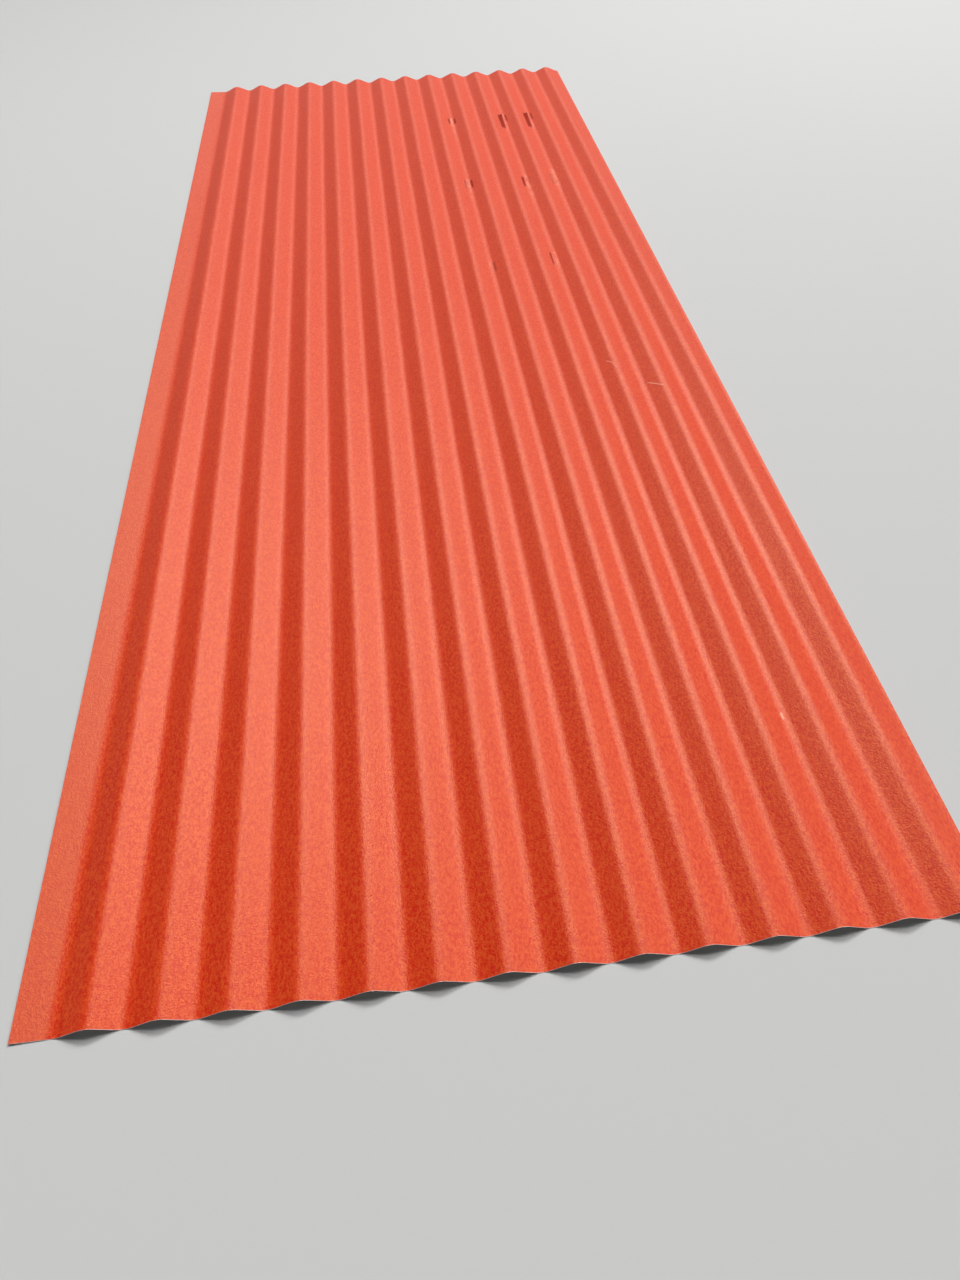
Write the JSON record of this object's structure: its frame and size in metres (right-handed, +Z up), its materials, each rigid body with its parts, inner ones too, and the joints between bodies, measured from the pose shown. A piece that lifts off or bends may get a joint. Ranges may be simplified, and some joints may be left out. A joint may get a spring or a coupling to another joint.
{
  "type": "corrugated metal sheet",
  "caption": "Long coated steel roofing sheet with rounded corrugations along its length and a nearly flat lap lip on one edge.",
  "frame": {"origin": "on the ground under the middle of the sheet, at the level of the troughs' underside", "axes": "+X across the waves, from the lap lip to the trimmed edge; +Y along the waves; +Z up"},
  "size_m": [1.1119, 3, 0.013],
  "materials": {
    "coated_steel": "matt wrinkled coating"
  },
  "bodies": {
    "root": {"corrugated_sheet": "coated_steel"}
  },
  "joints": []
}
